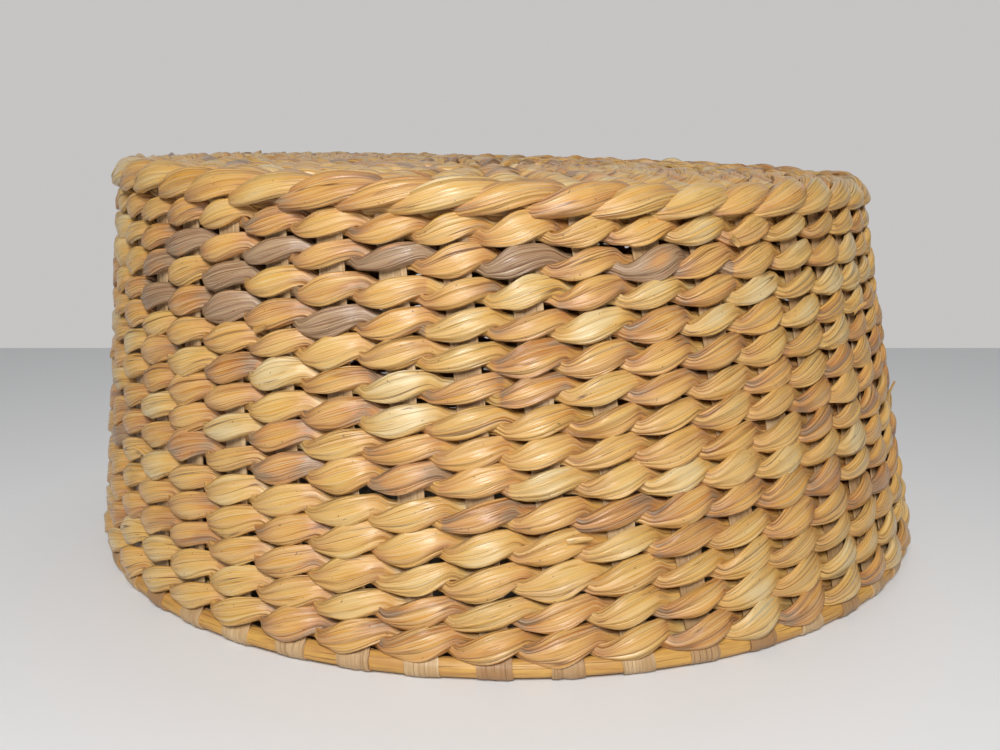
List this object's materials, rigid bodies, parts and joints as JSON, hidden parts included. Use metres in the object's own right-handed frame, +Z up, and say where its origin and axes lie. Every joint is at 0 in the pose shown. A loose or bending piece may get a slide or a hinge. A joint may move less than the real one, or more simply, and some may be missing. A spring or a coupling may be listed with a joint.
{
  "type": "woven seat drum",
  "caption": "Low round drum seat twined from dried leaf strands over flat stakes, with a closed flat seat, sides that flare to the floor and an open hollow underside.",
  "frame": {"origin": "middle of the open rim, on the floor that the folds at the rim stand on", "axes": "+Z up from the open rim to the closed seat; the seat's middle is a little to -X of the rim's and the seat falls a little to +X; -Y is the side that faces the viewer"},
  "size_m": [0.3968, 0.3966, 0.1791],
  "materials": {
    "strand_leaf": "twisted dried leaf, satin",
    "stake_leaf": "flat dried leaf, satin",
    "core_leaf": "rolled dried leaf, matt"
  },
  "bodies": {
    "root": {"base_strip_01": "stake_leaf", "base_strip_02": "stake_leaf", "base_strip_03": "stake_leaf", "base_strip_04": "stake_leaf", "base_strip_05": "stake_leaf", "base_strip_06": "stake_leaf", "base_strip_07": "stake_leaf", "base_strip_08": "stake_leaf", "base_strip_09": "stake_leaf", "base_strip_10": "stake_leaf", "base_strip_11": "stake_leaf", "base_strip_12": "stake_leaf", "added_stakes_01": "stake_leaf", "added_stakes_02": "stake_leaf", "added_stakes_03": "stake_leaf", "added_stakes_04": "stake_leaf", "added_stakes_05": "stake_leaf", "added_stakes_06": "stake_leaf", "added_stakes_07": "stake_leaf", "added_stakes_08": "stake_leaf", "added_stakes_09": "stake_leaf", "added_stakes_10": "stake_leaf", "added_stakes_11": "stake_leaf", "added_stakes_12": "stake_leaf", "rim_core": "core_leaf", "wall_course_01": "strand_leaf", "wall_course_02": "strand_leaf", "wall_course_03": "strand_leaf", "wall_course_04": "strand_leaf", "wall_course_05": "strand_leaf", "wall_course_06": "strand_leaf", "wall_course_07": "strand_leaf", "wall_course_08": "strand_leaf", "wall_course_09": "strand_leaf", "wall_course_10": "strand_leaf", "wall_course_11": "strand_leaf", "wall_course_12": "strand_leaf", "wall_course_13": "strand_leaf", "wall_course_14": "strand_leaf", "shoulder_course": "strand_leaf", "seat_course_01": "strand_leaf", "seat_course_02": "strand_leaf", "seat_course_03": "strand_leaf", "seat_course_04": "strand_leaf", "seat_course_05": "strand_leaf", "seat_course_06": "strand_leaf", "seat_course_07": "strand_leaf", "seat_course_08": "strand_leaf", "seat_course_09": "strand_leaf", "seat_course_10": "strand_leaf", "seat_course_11": "strand_leaf", "seat_course_12": "strand_leaf"}
  },
  "joints": []
}
